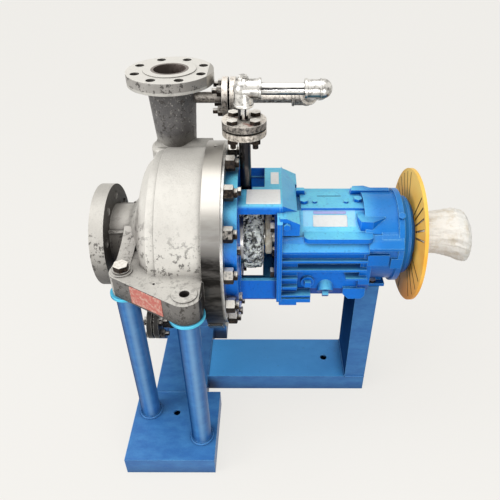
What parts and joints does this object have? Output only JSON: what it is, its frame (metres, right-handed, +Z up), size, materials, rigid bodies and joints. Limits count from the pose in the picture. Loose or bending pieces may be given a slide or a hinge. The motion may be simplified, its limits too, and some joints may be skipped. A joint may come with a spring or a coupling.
{
  "type": "centrifugal process pump",
  "caption": "Horizontal end-suction process pump with top discharge, open seal lantern, finned bearing frame, slotted guard disc and welded stand.",
  "frame": {"origin": "on the floor under the shaft axis, in the plane of the joint between casing and cover; it lies on the underside of the stand's long beam", "axes": "+X along the shaft towards the coupling end, +Y away from the near lug, +Z up"},
  "size_m": [0.9186, 0.686, 0.9142],
  "materials": {
    "azure_paint": "gloss paint over rough casting",
    "bearing_steel": "ground",
    "bolt_steel": "plain fasteners",
    "bright_pipe": "polished pipe and fittings",
    "cage_brass": "machined",
    "cast_stainless": "as cast, bead blasted, with dark stains",
    "gasket_graphite": "matt dark",
    "guard_yellow": "powder coat",
    "machined_steel": "turned bright",
    "packing_cloth": "crumpled cloth",
    "packing_film": "crinkled translucent film",
    "packing_foam": "soft foam strip",
    "stand_paint": "brushed gloss paint"
  },
  "bodies": {
    "root": {"adapter_bolts": "bolt_steel", "bearing_cover_bolts": "bolt_steel", "bearing_frame": "azure_paint", "casing_cover": "machined_steel", "casing_gasket": "gasket_graphite", "casing_nuts": "bolt_steel", "casing_studs": "bolt_steel", "casing_wear_ring": "machined_steel", "cross_beam": "stand_paint", "drain_blind": "bright_pipe", "drain_pipe": "bright_pipe", "far_pad": "stand_paint", "flush_back_pipe": "bright_pipe", "flush_drop": "bright_pipe", "flush_elbows": "bright_pipe", "flush_front_pipe": "bright_pipe", "flush_link": "bright_pipe", "flush_tap": "bright_pipe", "flush_tee": "bright_pipe", "frame_adapter": "azure_paint", "frame_plugs": "azure_paint", "front_bearing_cover": "machined_steel", "gland_riser": "bright_pipe", "gland_studs": "bolt_steel", "guard_disc": "guard_yellow", "guard_screws": "bolt_steel", "leg_far_inner": "stand_paint", "leg_far_outer": "stand_paint", "leg_near_inner": "stand_paint", "leg_near_outer": "stand_paint", "long_beam": "stand_paint", "mounting_bolts": "bolt_steel", "near_pad": "stand_paint", "pipe_bolts": "bolt_steel", "pipe_gaskets": "gasket_graphite", "pipe_nuts": "bolt_steel", "radial_outer_race": "bearing_steel", "rear_bearing_cover": "azure_paint", "rear_post": "stand_paint", "seal_film": "packing_film", "seal_gland": "machined_steel", "seal_seat": "gasket_graphite", "thrust_outer_race": "bearing_steel", "volute_casing": "cast_stainless"},
    "rotor": {"shaft": "machined_steel", "impeller": "machined_steel", "shaft_keys": "machined_steel", "shaft_nuts": "machined_steel", "shaft_sleeve": "machined_steel", "seal_head": "machined_steel", "radial_inner_race": "bearing_steel", "thrust_inner_race": "bearing_steel", "coupling_hub": "machined_steel", "shaft_foam": "packing_foam", "shaft_wrap": "packing_cloth"},
    "radial_cage_set": {"radial_cage": "cage_brass", "radial_balls": "bearing_steel"},
    "thrust_cage_set": {"thrust_cage": "cage_brass", "thrust_balls": "bearing_steel"}
  },
  "joints": [
    {"name": "shaft_spin", "type": "hinge", "parent": "root", "child": "rotor", "pos_m": [0, 0, 0.514], "axis": [1, 0, 0], "continuous": true},
    {"name": "radial_cage_spin", "type": "hinge", "parent": "root", "child": "radial_cage_set", "pos_m": [0.1535, 0, 0.514], "axis": [1, 0, 0], "continuous": true},
    {"name": "thrust_cage_spin", "type": "hinge", "parent": "root", "child": "thrust_cage_set", "pos_m": [0.389, 0, 0.514], "axis": [1, 0, 0], "continuous": true}
  ],
  "couplings": [
    {"joint": "radial_cage_spin", "follows": "shaft_spin", "ratio": 0.38125},
    {"joint": "thrust_cage_spin", "follows": "shaft_spin", "ratio": 0.38125}
  ]
}
